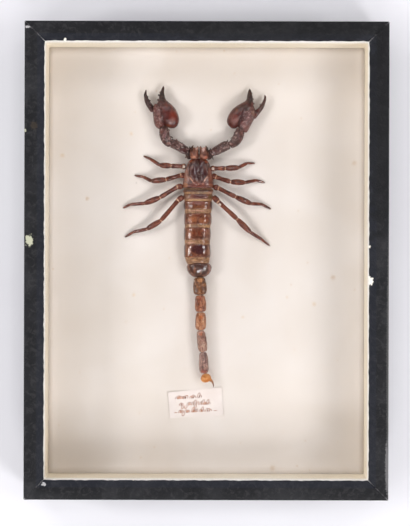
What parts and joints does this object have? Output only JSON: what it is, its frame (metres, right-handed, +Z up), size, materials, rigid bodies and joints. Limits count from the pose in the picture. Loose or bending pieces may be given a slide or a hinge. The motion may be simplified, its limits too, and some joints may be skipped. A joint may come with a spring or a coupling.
{
  "type": "boxed scorpion specimen",
  "caption": "Dried scorpion laid out over a small label on cream paper, in a flat black case closed by a glass pane bound on with mitred tape.",
  "frame": {"origin": "middle of the case's underside", "axes": "+X to the right, +Y along the case towards the scorpion's head, +Z up, out of the glass"},
  "size_m": [0.198, 0.26, 0.054],
  "materials": {
    "case_paper": "board covered in rough black paper",
    "binding_tape": "pebbled black binding strip with a slight sheen",
    "collar_paper": "card covered in warm cream paper, matte",
    "lining_paper": "soft board covered in foxed cream paper, matte",
    "label_paper": "off-white writing paper, matte",
    "window_glass": "clear and polished",
    "shield_cuticle": "polished, finely grained",
    "abdomen_cuticle": "satin, with paler skin between the plates",
    "tail_cuticle": "satin, keeled and grained",
    "sting_cuticle": "waxy",
    "jaw_cuticle": "polished",
    "arm_cuticle": "satin, grained",
    "hand_cuticle": "polished, with grains on the outer lobe",
    "leg_cuticle": "satin"
  },
  "bodies": {
    "root": {"floor_board": "case_paper", "tray_wall_left": "case_paper", "tray_wall_right": "case_paper", "tray_wall_tail_end": "case_paper", "tray_wall_head_end": "case_paper", "lid_wall_left": "case_paper", "lid_wall_right": "case_paper", "lid_wall_tail_end": "case_paper", "lid_wall_head_end": "case_paper", "collar_left": "collar_paper", "collar_right": "collar_paper", "collar_tail_end": "collar_paper", "collar_head_end": "collar_paper", "lining_board": "lining_paper", "glass_pane": "window_glass", "tape_left": "binding_tape", "tape_right": "binding_tape", "tape_tail_end": "binding_tape", "tape_head_end": "binding_tape", "label": "label_paper", "carapace": "shield_cuticle", "abdomen": "abdomen_cuticle", "tail_segment_1": "tail_cuticle", "tail_segment_2": "tail_cuticle", "tail_segment_3": "tail_cuticle", "tail_segment_4": "tail_cuticle", "tail_segment_5": "tail_cuticle", "telson": "sting_cuticle", "jaw_left": "jaw_cuticle", "jaw_right": "jaw_cuticle", "arm_hip_left": "arm_cuticle", "arm_hip_right": "arm_cuticle", "arm_upper_left": "arm_cuticle", "arm_upper_right": "arm_cuticle", "arm_lower_left": "arm_cuticle", "arm_lower_right": "arm_cuticle", "hand_left": "hand_cuticle", "hand_right": "hand_cuticle", "finger_left": "hand_cuticle", "finger_right": "hand_cuticle", "leg_left_1": "leg_cuticle", "leg_left_2": "leg_cuticle", "leg_left_3": "leg_cuticle", "leg_left_4": "leg_cuticle", "leg_right_1": "leg_cuticle", "leg_right_2": "leg_cuticle", "leg_right_3": "leg_cuticle", "leg_right_4": "leg_cuticle"}
  },
  "joints": []
}
